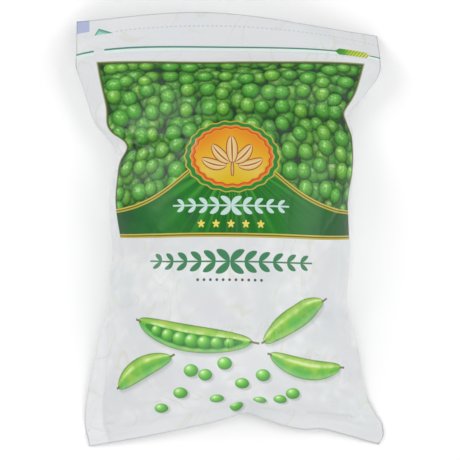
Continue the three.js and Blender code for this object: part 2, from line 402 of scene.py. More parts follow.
def peaBumps():
    # a jittered triangular packing of round bumps, some fainter than others
    spacing = relief["peaSpacing"]
    field = np.zeros((len(alongAt), len(acrossAt)))
    rowGap = spacing * math.sqrt(3) / 2
    for r in range(int(bag["length"] / rowGap) + 2):
        for c in range(-1, int(bag["width"] / spacing) + 2):
            x = -bag["width"] / 2 + (c + 0.5 * (r % 2)) * spacing + dice.uniform(-1.6, 1.6)
            y = r * rowGap + dice.uniform(-1.6, 1.6)
            rise = dice.uniform(0.15, 1.0)
            wide = relief["peaWidth"] * dice.uniform(0.85, 1.2)
            near = np.abs(alongAt - y) < 3 * wide
            beside = np.abs(acrossAt - x) < 3 * wide
            away = (alongAt[near] - y)[:, None] ** 2 + (acrossAt[beside] - x)[None] ** 2
            field[np.ix_(near, beside)] += rise * np.exp(-away / (2 * wide**2))
    return field


def creaseLine(x0, y0, x1, y1, height, wide):
    # a ridge that tapers to its two ends and wanders a little
    length = math.hypot(x1 - x0, y1 - y0)
    dx, dy = (x1 - x0) / length, (y1 - y0) / length
    bow = dice.uniform(-0.06, 0.06) * length
    x = acrossAt[None] - x0
    y = alongAt[:, None] - y0
    share = np.clip((x * dx + y * dy) / length, -0.2, 1.2)
    away = x * dy - y * dx - bow * 4 * share * (1 - share)
    taper = np.sin(np.pi * np.clip(share, 0, 1)) ** 0.7
    return height * taper * np.exp(-((away / wide) ** 2))


def drawnCreases():
    total = sum(creaseLine(*row) for row in relief["creases"])
    sharp = np.zeros_like(total)
    for x, y, reach, amount in relief["crinkled"]:
        away = (acrossAt[None] - x) ** 2 + (alongAt[:, None] - y) ** 2
        sharp = np.maximum(sharp, amount * np.exp(-away / reach**2))
    for _ in range(relief["scattered"]):
        x, y = dice.uniform(-88, 88), dice.uniform(12, 305)
        turn, length = dice.uniform(0, math.pi), dice.uniform(8, 34)
        endX, endY = x + length * math.cos(turn), y + length * math.sin(turn)
        total = total + creaseLine(x, y, endX, endY, dice.uniform(-0.16, 0.2), dice.uniform(1.2, 2.2))
    return total, sharp


def gridNormals(grid):
    along = np.gradient(grid, axis=0)
    across = np.gradient(grid, axis=1)
    normal = np.cross(across, along)
    return normal / np.maximum(np.linalg.norm(normal, axis=2, keepdims=True), 1e-9)


alongAt = fineHeights()
acrossAt = np.linspace(-bag["width"] / 2, bag["width"] / 2, round(bag["width"] / relief["step"]) + 1)
rowsAt = alongAt / bag["length"] * (filmCloth["rows"] - 1)
columnsAt = (acrossAt / bag["width"] + 0.5) * filmCloth["columns"]
front = sampleGrid(filmFront, rowsAt, columnsAt)
back = sampleGrid(filmBack, rowsAt, columnsAt)

# how full the bag is behind each place: looked up a little way in from the side
thickness = np.linalg.norm(front - back, axis=2)
inwards = round(9 / relief["step"])
columnNumbers = np.arange(len(acrossAt))
middleColumn = len(acrossAt) // 2
lookAt = columnNumbers + np.clip(middleColumn - columnNumbers, -inwards, inwards)
filled = fadeBetween(thickness[:, lookAt], 3, 16)
sideFade = fadeBetween(bag["width"] / 2 - np.abs(acrossAt), 0, 4)
endFade = np.minimum(fadeBetween(alongAt, 0, 3), fadeBetween(bag["length"] - alongAt, 0, 3))
edgeFade = sideFade[None] * endFade[:, None]


def zipRelief():
    track = np.zeros(len(alongAt))
    for side in (-1, 1):
        off = np.abs(alongAt - bag["zipAt"] - side * bag["zipTrackApart"] / 2) / bag["zipTrackWidth"]
        track += np.where(off < 1, np.cos(np.pi / 2 * np.minimum(off, 1)), 0)
    return bag["zipTrackRise"] * track[:, None]


def earShape():
    # distance in from the left side, set against the width of the empty strip at that height
    wide = relief["earWidth"] * (1 - fadeBetween(alongAt, *relief["earEnds"]))[:, None]
    return (acrossAt[None] + bag["width"] / 2) - wide, wide


def commonRelief(peas):
    header = fadeBetween(alongAt, *relief["headerFrom"])[:, None]
    seal = (1 - fadeBetween(alongAt, bag["bottomSeal"] - 1, bag["bottomSeal"] + 1))[:, None]
    bumps = relief["peaRise"] * peas * (0.45 + 0.55 * fadeBetween(softNoise(38), -0.6, 0.5))
    creases = (np.abs(softNoise(15)) + 0.6 * np.abs(softNoise(8)) - 0.5) * relief["crinkle"]
    waves = relief["headerWave"] * softNoise(34) * header * (1 - zipNear)
    ribs = relief["sealRib"] * np.cos(2 * np.pi * acrossAt / relief["sealRibPitch"])[None] * seal
    body = (1 - header) * (1 - seal)
    return bumps * filled * body + creases * (1 - 0.55 * filled) * (1 - zipNear) + waves + ribs


zipNear = (1 - fadeBetween(np.abs(alongAt - bag["zipAt"]), 5, 9))[:, None]
earIn, earWide = earShape()
earCrease = relief["earFold"] * np.exp(-((earIn / relief["earFoldWidth"]) ** 2))
earCrease = earCrease * np.clip(earWide / 6, 0, 1)
frontPeas, backPeas = peaBumps(), peaBumps()
creases, sharpCreases = drawnCreases()
frontMove = commonRelief(frontPeas) + zipRelief() - earCrease + creases
lapEdge = relief["lapSeam"] / 2
lap = relief["lapRise"] * (1 - fadeBetween(np.abs(acrossAt), lapEdge - 0.6, lapEdge + 0.6))[None]
backMove = commonRelief(backPeas) + zipRelief() * 0.7 + lap
front = front + gridNormals(front) * (frontMove * edgeFade)[..., None]
back = back - gridNormals(back) * (backMove * edgeFade)[..., None]
back[..., 2] = np.maximum(back[..., 2], 0.05)
front[..., 2] = np.maximum(front[..., 2], 0.1)

nodeLow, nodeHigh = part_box("bag")
centreShift = (np.array(nodeLow) + np.array(nodeHigh)) / 2 / mm - (formLow + formHigh) / 2
centreShift[2] = nodeLow[2] / mm
points, faces, frontIndex, backIndex = joinSides(front + centreShift, back + centreShift)
film = newObject("film", points * mm, faces)
mesh = film.data
print("film drawn:", len(faces), "faces,", round(time.time() - started, 1), "s")


def cornerPlaces():
    # each face's corners on the flat film: as the print lies, and on an even grid
    printed = sampleGrid(printPlaces, rowsAt, columnsAt)
    even = np.stack(np.broadcast_arrays(acrossAt[None], alongAt[:, None]), 2)
    faceCorners = []
    for flat in (printed, even):
        quads = [flat[:-1, :-1], flat[:-1, 1:], flat[1:, 1:], flat[1:, :-1]]
        faceCorners.append(np.stack([q.reshape(-1, 2) for q in quads], 1))
    printed, even = faceCorners
    backs = even[:, ::-1]
    return np.concatenate([printed, backs]), np.concatenate([even, backs])


def addAttribute(name, onFront, onBack):
    values = np.zeros(len(mesh.vertices), np.float32)
    values[backIndex.ravel()] = onBack.ravel()
    values[frontIndex.ravel()] = onFront.ravel()
    mesh.attributes.new(name, "FLOAT", "POINT").data.foreach_set("value", values)


def addMaps():
    printed, places = cornerPlaces()
    printMap = mesh.uv_layers.new(name="filmPlace")
    printMap.data.foreach_set("uv", (printed * mm).astype(np.float32).ravel())
    # the bake map: the printed side at full size, and the plain back squeezed in beside it
    u = places[..., 0] / bag["width"] + 0.5
    v = places[..., 1] / bag["length"]
    isBack = (np.arange(len(places)) >= len(places) // 2)[:, None]
    bakeU = np.where(isBack, 0.7 + u * 0.298, 0.002 + u * 0.688)
    bakeMap = mesh.uv_layers.new(name="OFBake")
    bake = np.stack([bakeU, 0.002 + v * 0.996], 2)
    bakeMap.data.foreach_set("uv", bake.astype(np.float32).ravel())
    mesh.uv_layers.active = bakeMap
    mesh.polygons.foreach_set("use_smooth", np.ones(len(places), bool))
    ear = (1 - fadeBetween(earIn, -1.5, 1.0)) * np.clip(earWide / 6, 0, 1)
    behind = 0.72 + 0.28 * filled
    shown = np.clip(behind * (1 - ear), 0, 1)
    addAttribute("filled", shown, behind)
    # the tops of the pea bumps, where a highlight is painted on the film
    addAttribute("pressed", np.clip(frontPeas, 0, 1) * filled, np.clip(backPeas, 0, 1) * filled)
    addAttribute("crinkled", sharpCreases, np.zeros_like(sharpCreases))


addMaps()


# Colours, and the one helper that adds a node.
def fromHex(code):
    parts = [int(code[i:i + 2], 16) / 255 for i in (1, 3, 5)]
    return tuple(p / 12.92 if p <= 0.04045 else ((p + 0.055) / 1.055) ** 2.4 for p in parts) + (1.0,)


calc = "ShaderNodeMath"
vector = "ShaderNodeVectorMath"
mix = "ShaderNodeMix"
remap = "ShaderNodeMapRange"
ramp = "ShaderNodeValToRGB"
noise = "ShaderNodeTexNoise"
separate = "ShaderNodeSeparateXYZ"
combine = "ShaderNodeCombineXYZ"
group = "ShaderNodeGroup"


class Wire:
    # a node's output, which can stand in a sum: each sum adds one node
    def __init__(self, socket):
        self.socket = socket
        self.tree = socket.id_data

    def sum(self, operation, first, second):
        kind = vector if self.socket.type == "VECTOR" else calc
        return addNode(kind, {0: first, 1: second}, operation=operation)

    def __add__(self, other):
        return self.sum("ADD", self, other)

    def __sub__(self, other):
        return self.sum("SUBTRACT", self, other)

    def __mul__(self, other):
        return self.sum("MULTIPLY", self, other)

    def __truediv__(self, other):
        return self.sum("DIVIDE", self, other)

    def __rtruediv__(self, other):
        return self.sum("DIVIDE", other, self)

    def __abs__(self):
        return addNode(calc, {0: self}, operation="ABSOLUTE")

    def to(self, socket):
        self.tree.links.new(self.socket, socket)


def addNode(kind, feeds=None, out=0, tree=None, stops=(), **settings):
    # it joins the tree of the wires that feed it; stops are a colour ramp's [place, colour] rows;
    # where out is a tuple, a list of that many wires comes back
    feeds = feeds or {}
    tree = tree or next(value.tree for value in feeds.values() if isinstance(value, Wire))
    node = tree.nodes.new(kind)
    for name, value in settings.items():
        setattr(node, name, value)
    for key, value in feeds.items():
        if isinstance(value, Wire):
            value.to(node.inputs[key])
        else:
            node.inputs[key].default_value = fromHex(value) if isinstance(value, str) else value
    while stops and len(node.color_ramp.elements) < len(stops):
        node.color_ramp.elements.new(1.0)
    for number, (place, code) in enumerate(stops):
        node.color_ramp.elements[number].position = place
        node.color_ramp.elements[number].color = fromHex(code)
    if isinstance(out, tuple):
        return [Wire(node.outputs[which]) for which in out]
    return Wire(node.outputs[out])


def newGroup(name, takes, gives):
    kinds = {"Place": "NodeSocketVector", "Under": "NodeSocketColor", "Over": "NodeSocketColor"}
    tree = bpy.data.node_groups.new(name, "ShaderNodeTree")
    for side, names in (("INPUT", takes), ("OUTPUT", gives)):
        for socketName in names:
            kind = kinds.get(socketName, "NodeSocketFloat")
            tree.interface.new_socket(socketName, in_out=side, socket_type=kind)
    inside = tree.nodes.new("NodeGroupInput").outputs
    given = {socketName: Wire(inside[socketName]) for socketName in takes}
    return tree, given, tree.nodes.new("NodeGroupOutput").inputs


# The print, in flat film millimetres. Every motif is drawn over the colour under it.
pack = {
    "peaFieldLeft": -93.5,
    "peaFieldRight": (103.5, 97.0),  # at the band's foot, and at the top
    "peaFieldTop": 277.5,
    "peaFieldCorners": 4.5,  # how much higher the field's top is at its corners
    # where the gathered necks draw the field's sides in, or let them out: [along, inwards, reach]
    "leftNeck": [(220.0, 7.5, 8.0), (237.0, -4.0, 9.0)],
    "rightNeck": [(243.0, 5.0, 12.0)],
    "bandFoot": 151.0,
    "bandShoulder": 169.0,  # height of the band's upper edge at the sides
    "bandCrest": 41.0,  # and how much higher it is in the middle
    "bandSpread": 46.0,
    # the film is printed in panels, [left, right, foot, head], because one shader holds only so many
    # motifs: a motif that crosses a panel's edge is drawn on both sides of it
    "panels": {
        "header": (-130, 130, 283.4, 330),
        "peas": (-130, 130, 232, 283.4),
        "bandLeft": (-130, -44, 144, 232),
        "badgeLeft": (-44, 1, 178, 232),
        "badgeRight": (1, 46, 178, 232),
        "bandMiddle": (-44, 46, 144, 178),
        "bandRight": (46, 130, 144, 232),
        "middle": (-130, 130, 112, 144),
        "podsLeft": (-130, -36, 44, 112),
        "podsMiddle": (-36, 14, 44, 112),
        "podsRight": (14, 130, 44, 112),
        "footLeft": (-130, -12, -20, 44),
        "footRight": (-12, 130, -20, 44),
    },
}


def offsetFrom(place, x, y):
    centre = addNode(combine, {0: x, 1: y}, tree=place.tree)
    return place - centre


def softStep(value, low, high, top=1.0):
    feeds = {0: value, 1: low, 2: high, 3: 0.0, 4: top}
    return addNode(remap, feeds, interpolation_type="SMOOTHSTEP")


def layOver(under, over, mask, blend="MIX"):
    feeds = {0: mask, 6: under, 7: over}
    return addNode(mix, feeds, out=2, data_type="RGBA", blend_type=blend)


def ballLight(unit, reach, sun):
    # light on a ball of radius 1, at this place on it
    inside = addNode(calc, {0: 1.0, 1: reach * reach}, operation="SUBTRACT", use_clamp=True)
    dome = addNode(calc, {0: inside}, operation="SQRT")
    x, y = addNode(separate, {0: unit}, out=(0, 1))
    normal = addNode(combine, {0: x, 1: y, 2: dome})
    return addNode(vector, {0: normal, 1: sun}, out=1, operation="DOT_PRODUCT")


pods = {
    # [across, along, angle, length, width, bend]
    "open": (-25.0, 84.0, -10.0, 84.0, 20.0, -5.0),
    "closed": [
        (51.0, 91.0, 28.0, 60.0, 17.0, 5.0),
        (57.0, 61.0, -14.0, 58.0, 16.5, -5.0),
        (-62.0, 53.0, 32.0, 50.0, 16.0, 4.0),
    ],
    "skin": [(0.0, "#73ab62"), (0.12, "#83c273"), (0.34, "#5fb04c"), (0.55, "#74bb42"),
             (0.72, "#a9d05c"), (0.86, "#98c656"), (1.0, "#71993f")],  # from its lower to its upper side
    "slit": "#3b8b37",
    "peasInside": 7,
    # [across, along, radius]
    "strayPeas": [
        (-27, 55, 5.2), (-17, 51, 5.0), (-36, 36, 5.3), (-3, 60, 5.2), (9, 43, 5.1), (24, 51, 5.2),
        (-10, 27, 5.3), (22, 25, 5.1), (46, 36, 5.2), (37, 29, 5.0), (-52, 22, 5.1), (4, 11, 5.2),
    ],
    "peaSkin": [(0.0, "#4a8a3c"), (0.25, "#479a38"), (0.6, "#5aae3c"), (0.84, "#7cc454"),
                (0.95, "#9fd678"), (1.0, "#dcefc8")],
}
podSizes = ("X", "Y", "Angle", "Length", "Width", "Bend", "Point")  # Point: 1 sharp, 0.4 blunt


def drawnPeaGroup():
    # one round pea with its soft shadow, lit from the upper left
    tree, given, result = newGroup("drawnPea", ("Under", "Place", "X", "Y", "Radius"), ("Over",))
    offset = offsetFrom(given["Place"], given["X"], given["Y"])
    size = 1.0 / given["Radius"]
    unit = addNode(vector, {0: offset, "Scale": size}, operation="SCALE")
    reach = addNode(vector, {0: unit}, out=1, operation="LENGTH")
    cast = unit + (-0.28, 0.34, 0)
    castReach = addNode(vector, {0: cast}, out=1, operation="LENGTH")
    shade = softStep(castReach, 1.25, 0.75, 0.45)
    under = layOver(given["Under"], "#a3ada3", shade, "MULTIPLY")
    light = ballLight(unit, reach, (-0.34, 0.45, 0.82))
    skin = addNode(ramp, {0: light}, stops=pods["peaSkin"])
    layOver(under, skin, softStep(reach, 1.03, 0.95)).to(result["Over"])
    return tree


def podShapeGroup():
    # where a place lies on a bent pod: Along and Across from -1 to 1, Inside and Aside in millimetres
    gives = ("Along", "Across", "Inside", "Aside")
    tree, given, result = newGroup("podShape", ("Place",) + podSizes, gives)
    offset = offsetFrom(given["Place"], given["X"], given["Y"])
    feeds = {"Vector": offset, "Angle": given["Angle"]}
    turned = addNode("ShaderNodeVectorRotate", feeds, rotation_type="Z_AXIS", invert=True)
    x, y = addNode(separate, {0: turned}, out=(0, 1))
    halfLength = given["Length"] * 0.5
    along = x / halfLength
    squared = along * along
    left = addNode(calc, {0: 1.0, 1: squared}, operation="SUBTRACT", use_clamp=True)
    bow = left * given["Bend"]
    aside = y - bow
    profile = addNode(calc, {0: left, 1: given["Point"]}, operation="POWER")
    halfWidth = given["Width"] * 0.5
    local = profile * halfWidth
    safe = addNode(calc, {0: local, 1: 0.05}, operation="MAXIMUM")
    across = aside / safe
    away = abs(aside)
    inside = local - away
    past = addNode(calc, {0: squared, 1: 1.0}, operation="GREATER_THAN")
    inside = inside - past * 9.0
    for name, value in zip(gives, (along, across, inside, away)):
        value.to(result[name])
    return tree


def drawnPodGroup(podShape):
    # a closed pod: yellower along its upper side, patchy, with a thin dark edge, brown ends, a stalk
    # and a soft shadow
    tree, given, result = newGroup("drawnPod", ("Under", "Place") + podSizes, ("Over",))
    place = given["Place"]
    same = {name: given[name] for name in podSizes}
    feeds = {"Place": place, **same}
    along, across, inside, aside = addNode(group, feeds, out=(0, 1, 2, 3), node_tree=podShape)
    lower = place + (-1.0, 2.0, 0)
    cast = addNode(group, {"Place": lower, **same}, out=2, node_tree=podShape)
    under = layOver(given["Under"], "#a3ada0", softStep(cast, -2.2, 2.0, 0.4), "MULTIPLY")
    height = addNode(remap, {0: across, 1: -1.0, 2: 1.0})
    skin = addNode(ramp, {0: height}, stops=pods["skin"])
    patches = addNode(noise, {"Vector": place, "Scale": 0.09, "Detail": 2.0})
    skin = layOver(skin, "#b9d058", softStep(patches, 0.42, 0.8, 0.6))
    skin = layOver(skin, "#4fa84a", softStep(patches, 0.55, 0.25, 0.35))
    ridge = abs(height - 0.72)
    shine = softStep(ridge, 0.13, 0.0) * softStep(patches, 0.35, 0.65)
    skin = layOver(skin, "#d3e8a8", shine)
    skin = layOver(skin, "#4a7430", softStep(inside, 1.3, 0.2, 0.6))
    ends = abs(along)
    skin = layOver(skin, "#7d7a45", softStep(ends, 0.95, 1.0, 0.7))
    body = layOver(under, skin, softStep(inside, -0.2, 0.4))
    stalk = addNode(calc, {0: along, 1: 1.04, 2: 0.085}, operation="COMPARE")
    beak = addNode(calc, {0: along, 1: -1.0, 2: 0.06}, operation="COMPARE")
    beyond = addNode(calc, {0: stalk, 1: beak}, operation="MAXIMUM")
    thin = softStep(aside, 1.0, 0.6)
    layOver(body, "#6f7a45", beyond * thin).to(result["Over"])
    return tree


def touches(panel, x, y, reach):
    # whether a motif of this reach round [x, y] can show in a panel, with 4 mm to spare
    left, right, foot, head = panel
    nearX = x - min(max(x, left), right)
    nearY = y - min(max(y, foot), head)
    return math.hypot(nearX, nearY) < reach + 4


def podTouches(panel, x, y, angle, length, width):
    # a pod is long and thin, so it is tried at points along it
    turn = math.radians(angle)
    steps = [length * share / 2 for share in (-1.05, -0.7, -0.35, 0, 0.35, 0.7, 1.05)]
    return any(touches(panel, x + s * math.cos(turn), y + s * math.sin(turn), width) for s in steps)


def drawPea(place, colour, panel, drawnPea, x, y, radius):
    if not touches(panel, x, y, radius):
        return colour
    feeds = {"Under": colour, "Place": place, "X": x, "Y": y, "Radius": radius}
    return addNode(group, feeds, node_tree=drawnPea)


def drawPods(place, colour, panel, motifs):
    for x, y, angle, length, width, bend in pods["closed"]:
        if podTouches(panel, x, y, angle, length, width):
            sizes = dict(zip(podSizes, (x, y, math.radians(angle), length, width, bend, 0.5)))
            feeds = {"Under": colour, "Place": place, **sizes}
            colour = addNode(group, feeds, node_tree=motifs["pod"])
    if podTouches(panel, *pods["open"][:5]):
        colour = drawOpenPod(place, colour, panel, motifs)
    for x, y, radius in pods["strayPeas"]:
        colour = drawPea(place, colour, panel, motifs["pea"], x, y, radius)
    return colour


def drawOpenPod(place, colour, panel, motifs):
    x, y, angle, length, width, bend = pods["open"]
    turn = math.radians(angle)
    sizes = dict(zip(podSizes, (x, y, turn, length, width, bend, 0.5)))
    colour = addNode(group, {"Under": colour, "Place": place, **sizes}, node_tree=motifs["pod"])
    # the opening is a dark slit lower down, with peas in a row
    x, y = x + math.sin(turn) * 1.4, y - math.cos(turn) * 1.4
    slit = {**sizes, "X": x, "Y": y, "Length": length * 0.86, "Width": width * 0.56}
    opening = addNode(group, {"Place": place, **slit}, out=2, node_tree=motifs["shape"])
    colour = layOver(colour, pods["slit"], softStep(opening, -0.3, 0.9))
    for k in range(pods["peasInside"]):
        share = 2 * (k + 0.5) / pods["peasInside"] - 1
        alongPod = share * length * 0.37
        bow = bend * (1 - (alongPod / (length * 0.43)) ** 2)
        peaX = x + alongPod * math.cos(turn) - bow * math.sin(turn)
        peaY = y + alongPod * math.sin(turn) + bow * math.cos(turn)
        colour = drawPea(place, colour, panel, motifs["pea"], peaX, peaY, 4.9 - 1.5 * share**2)
    return colour


heap = {
    "peaAcross": 13.2,  # the peas are printed half over life size
    "levelsOffAt": 250.0,  # beyond this height the peas are drawn flatter
    "flattening": 0.0145,
    # each layer: [cell spacing, looseness, shift, share left out, brightness], the lowest first
    "layers": [
        (10.8, 0.75, (3.3, 8.1, 0), 0.0, 0.7),
        (12.8, 0.65, (41.7, 5.2, 0), 0.04, 0.88),
        (14.4, 0.55, (23.3, 52.6, 0), 0.06, 1.0),
    ],
    "gaps": [(0.3, "#16321b"), (0.7, "#274a2b")],
    "green": [(0.0, "#1a4810"), (0.3, "#2a6c1a"), (0.55, "#3a8826"), (0.8, "#4f9d33"),
              (0.92, "#68b047"), (1.0, "#9dd080")],
    "pale": [(0.0, "#284e10"), (0.3, "#3e7418"), (0.55, "#549326"), (0.8, "#6bab34"),
             (0.92, "#88be53"), (1.0, "#badb98")],
    "sun": (-0.14, 0.33, 0.93),
}


def drawPeaHeap(place):
    # layers of cells drawn as lit balls, the lower ones darker, over deep green; towards the top
    # they are drawn flatter, as a heap that leads away
    x, y = addNode(separate, {0: place}, out=(0, 1))
    beyond = addNode(calc, {0: y - heap["levelsOffAt"], 1: 0.0}, operation="MAXIMUM")
    beyond = beyond * beyond
    rise = addNode(calc, {0: beyond, 1: heap["flattening"], 2: y}, operation="MULTIPLY_ADD")
    place = addNode(combine, {0: x, 1: rise})
    colour = addNode(noise, {"Vector": place, "Scale": 0.15, "Detail": 2.0})
    colour = addNode(ramp, {0: colour}, stops=heap["gaps"])
    radius = heap["peaAcross"] / 2
    frost = addNode(noise, {"Vector": place, "Scale": 0.5, "Detail": 3.0})
    for spacing, loose, shift, skipped, bright in heap["layers"]:
        scaled = addNode(vector, {0: place, "Scale": 1 / spacing}, operation="SCALE")
        moved = scaled + shift
        feeds = {"Vector": moved, "Scale": 1.0, "Randomness": loose}
        draw, centre = addNode("ShaderNodeTexVoronoi", feeds, ("Color", "Position"), voronoi_dimensions="2D")
        first, second, third = addNode("ShaderNodeSeparateColor", {0: draw}, out=(0, 1, 2))
        size = addNode(remap, {0: first, 3: radius * 0.84 / spacing, 4: radius * 1.06 / spacing})
        offset = moved - centre
        unit = addNode(vector, {0: offset, "Scale": 1.0 / size}, operation="SCALE")
        slim = addNode(remap, {0: third, 3: 0.94, 4: 1.14})
        slim = addNode(combine, {0: slim, 1: 1.0})
        unit = unit * slim
        reach = addNode(vector, {0: unit}, out=1, operation="LENGTH")
        kept = addNode(calc, {0: second, 1: skipped}, operation="GREATER_THAN")
        light = ballLight(unit, reach, heap["sun"])
        rough = addNode(remap, {0: frost, 1: 0.32, 2: 0.68, 3: -0.14, 4: 0.07})
        light = light + rough
        green = addNode(ramp, {0: light}, stops=heap["green"])
        pale = addNode(ramp, {0: light}, stops=heap["pale"])
        skin = layOver(green, pale, softStep(third, 0.35, 0.95, 0.8))
        skin = layOver("#1c3a1a", skin, bright)
        edge = softStep(reach, 1.04, 0.95) * kept
        near = softStep(reach, 1.4, 0.95, 0.55) * kept
        colour = layOver(colour, "#152f18", near)
        colour = layOver(colour, skin, edge)
    return colour


band = {
    "green": [(0.0, "#0e6216"), (0.35, "#12701a"), (0.7, "#176426"), (1.0, "#1c4f26")],  # outwards
    "ray": "#48a038",
    # across a pair of gold lines with a dark one between them, 3 mm in all
    "gold": [(0.0, "#7f7c24"), (0.16, "#c4b142"), (0.34, "#ab9a26"), (0.46, "#4f5212"),
             (0.56, "#4f5212"), (0.68, "#b09c2c"), (0.86, "#d2c464"), (1.0, "#7d7a26")],
    "stars": {"along": 158.5, "apart": 11.0, "count": 5, "radius": 3.0, "colour": "#e3cf5c"},
}


def bandEdge(across, along):
    # signed distance in millimetres above the band's upper edge, a bell-shaped curve
    crestHigh, spread = pack["bandCrest"], pack["bandSpread"]
    power = across * across * (-1 / spread**2)
    bell = addNode(calc, {0: power}, operation="EXPONENT")
    feeds = {0: bell, 1: crestHigh, 2: pack["bandShoulder"]}
    above = along - addNode(calc, feeds, operation="MULTIPLY_ADD")
    slope = across * bell * (2 * crestHigh / spread**2)
    slope = addNode(calc, {0: slope, 1: slope, 2: 1.0}, operation="MULTIPLY_ADD")
    return above / addNode(calc, {0: slope}, operation="SQRT")


def goldLines(colour, distance, inField):
    place = addNode(remap, {0: distance, 1: -1.5, 2: 1.5})
    gold = addNode(ramp, {0: place}, stops=band["gold"])
    mask = softStep(abs(distance), 1.6, 1.3) * inField
    return layOver(colour, gold, mask)


def starMask(place, x, y, radius):
    # five points: the edge swings between an inner and an outer radius
    offset = offsetFrom(place, x, y)
    across, along = addNode(separate, {0: offset}, out=(0, 1))
    angle = addNode(calc, {0: across, 1: along}, operation="ARCTAN2")
    turns = angle * (5 / (2 * math.pi))
    saw = addNode(calc, {0: turns, 1: 0.5}, operation="PINGPONG")
    edge = addNode(remap, {0: saw, 1: 0.0, 2: 0.5, 3: radius, 4: radius * 0.42})
    reach = addNode(vector, {0: offset}, out=1, operation="LENGTH")
    return softStep(edge - reach, -0.15, 0.25)


def drawBand(place, across, along, colour, inField, panel):
    above = bandEdge(across, along)
    offset = offsetFrom(place, badge["across"], badge["along"])
    x, y = addNode(separate, {0: offset}, out=(0, 1))
    reach = addNode(vector, {0: offset}, out=1, operation="LENGTH")
    angle = addNode(calc, {0: y, 1: x}, operation="ARCTAN2")
    spokes = addNode(noise, {"W": angle, "Scale": 9.0, "Detail": 3.0}, noise_dimensions="1D")
    fade = softStep(reach, badge["wide"] * 2.3, badge["wide"] * 0.6)
    rays = softStep(spokes, 0.42, 0.68) * fade
    sides = addNode(remap, {0: abs(across), 1: 0.0, 2: 100.0})
    green = addNode(ramp, {0: sides}, stops=band["green"])
    cloud = addNode(noise, {"Vector": place, "Scale": 0.05, "Detail": 2.0})
    green = layOver(green, "#204a2c", softStep(cloud, 0.45, 0.7, 0.5))
    green = layOver(green, band["ray"], rays * 0.7)
    low = along - pack["bandFoot"]
    inside = softStep(above, 0.1, -0.1) * softStep(low, -0.1, 0.1) * inField
    colour = layOver(colour, green, inside)
    colour = goldLines(colour, above, inField)
    colour = goldLines(colour, low, inField)
    stars = band["stars"]
    for k in range(stars["count"]):
        x = (k - (stars["count"] - 1) / 2) * stars["apart"]
        if touches(panel, x, stars["along"], stars["radius"]):
            mask = starMask(place, x, stars["along"], stars["radius"])
            colour = layOver(colour, stars["colour"], mask)
    return colour


badge = {
    "across": 1.0,
    "along": 205.0,
    "wide": 36.0,  # half sizes
    "high": 25.0,
    "scallops": 22,
    "scallopDepth": 0.4,
    # [depth in from the edge, colour]
    "rings": [(0.0, "#b9a63e"), (0.8, "#1c7f2c"), (3.2, "#dc9c42"), (3.8, "#d86a1c"), (5.0, "#9f3a0c"),
              (5.5, "#df9220")],
    "field": [(0.0, "#d2ae14"), (0.35, "#d6bb4c"), (0.65, "#daa41c"), (1.0, "#d97c10")],
    # a sprig of leaves, and last its stem: [across, along, angle, length, width, bend]
    "leaves": [(-13.5, -4.4, 166, 19.0, 6.6, 1.6), (13.5, -4.4, 14, 19.0, 6.6, -1.6),
               (-8.2, 1.6, 137, 18.0, 7.4, 1.2), (8.2, 1.6, 43, 18.0, 7.4, -1.2),
               (0.0, 4.6, 90, 19.0, 8.0, 0.0), (0.0, -9.0, 90, 10.0, 1.5, 0.0)],
    "leaf": [(0.0, "#a8562a"), (0.13, "#a8562a"), (0.2, "#ddcb92"), (1.0, "#d3ab64")],  # from its vein
}


def drawBadge(place, colour, panel, podShape):
    x, y = badge["across"], badge["along"]
    offset = offsetFrom(place, x, y)
    offX, offY = addNode(separate, {0: offset}, out=(0, 1))
    circle = offset * (badge["high"] / badge["wide"], 1.0, 1.0)
    reach = addNode(vector, {0: circle}, out=1, operation="LENGTH")
    circleX, circleY = addNode(separate, {0: circle}, out=(0, 1))
    angle = addNode(calc, {0: circleY, 1: circleX}, operation="ARCTAN2")
    turns = angle * badge["scallops"]
    wave = addNode(calc, {0: turns}, operation="COSINE")
    feeds = {0: wave, 1: -badge["scallopDepth"], 2: reach}
    scallop = addNode(calc, feeds, operation="MULTIPLY_ADD")
    inwardBy = addNode(calc, {0: badge["high"], 1: scallop}, operation="SUBTRACT")
    for depth, code in badge["rings"]:
        colour = layOver(colour, code, softStep(inwardBy, depth - 0.2, depth + 0.2))
    glow = addNode(calc, {0: abs(offX), 1: 0.5, 2: -12.0}, operation="MULTIPLY_ADD") + offY
    glow = addNode(remap, {0: glow, 1: -26.0, 2: 12.0})
    field = addNode(ramp, {0: glow}, stops=badge["field"])
    colour = layOver(colour, field, softStep(inwardBy, 6.0, 6.6))
    for dx, dy, turn, length, width, bend in badge["leaves"]:
        if not podTouches(panel, x + dx, y + dy, turn, length, width):
            continue
        sizes = dict(zip(podSizes, (x + dx, y + dy, math.radians(turn), length, width, bend, 0.62)))
        feeds = {"Place": place, **sizes}
        across, inside = addNode(group, feeds, out=("Across", "Inside"), node_tree=podShape)
        colour = layOver(colour, "#9a3f1c", softStep(inside, -0.8, -0.4))
        leaf = addNode(ramp, {0: abs(across)}, stops=badge["leaf"])
        colour = layOver(colour, leaf, softStep(inside, -0.1, 0.3))
    return colour


header = {
    "line": 289.4,  # the printed line along the zip, and its gap
    "lineGap": (-95.2, -87.6),
    "fringe": 288.0,
    "tab": (88.0, 13.0),  # middle and half length
    "tabColours": [(0.0, "#1f7a2c"), (0.22, "#4f9d2c"), (0.4, "#b3c530"), (0.75, "#cfd23c"),
                   (1.0, "#dfd38a")],
    "tear": {"along": 304.8, "left": -81.0, "middle": 20.0, "bow": 0.0003, "pitch": 3.2},
    "mark": {"left": -95.0, "peak": -91.5, "right": -81.0, "foot": 300.8, "high": 5.2},
    "markColours": [(0.0, "#2f6f63"), (0.35, "#4fa08a"), (1.0, "#8fcdb8")],
    "corner": (-98.4, 304.6),
}


